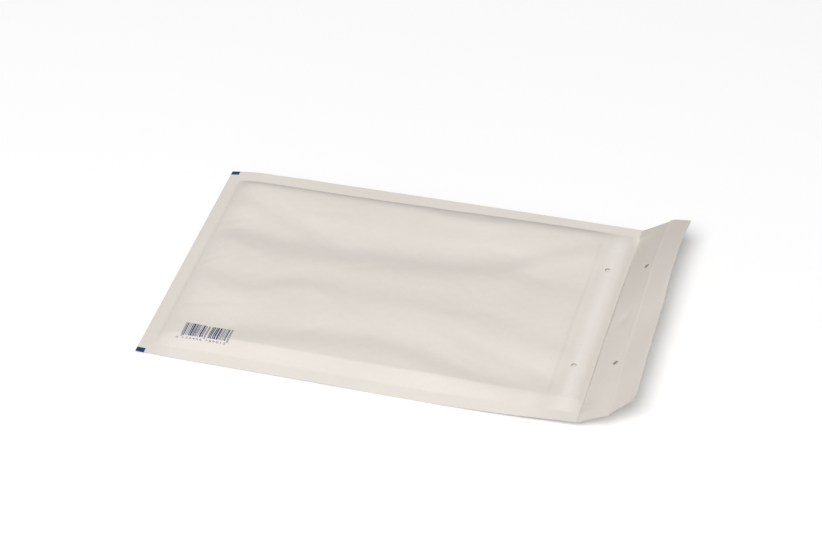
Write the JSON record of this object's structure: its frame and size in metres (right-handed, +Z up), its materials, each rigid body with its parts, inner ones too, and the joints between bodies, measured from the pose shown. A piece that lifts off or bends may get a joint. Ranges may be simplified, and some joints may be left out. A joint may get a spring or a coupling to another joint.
{
  "type": "padded envelope",
  "caption": "White paper mailing envelope with a bubble film lining, lying flat with its adhesive flap half raised.",
  "frame": {"origin": "on the ground under the middle of the whole envelope, with the raised flap counted in", "axes": "+X along the envelope from its bottom fold to its mouth and flap, +Y across it, +Z up out of the front panel"},
  "size_m": [0.3896, 0.24, 0.0334],
  "materials": {
    "white_paper": "matt white kraft paper",
    "bubble_film": "clear bubble film",
    "adhesive": "tacky hot melt",
    "liner_paper": "smooth silicone coated paper"
  },
  "bodies": {
    "root": {"outer_paper": "white_paper", "bubble_lining": "bubble_film", "adhesive_strip": "adhesive", "release_liner": "liner_paper"}
  },
  "joints": []
}
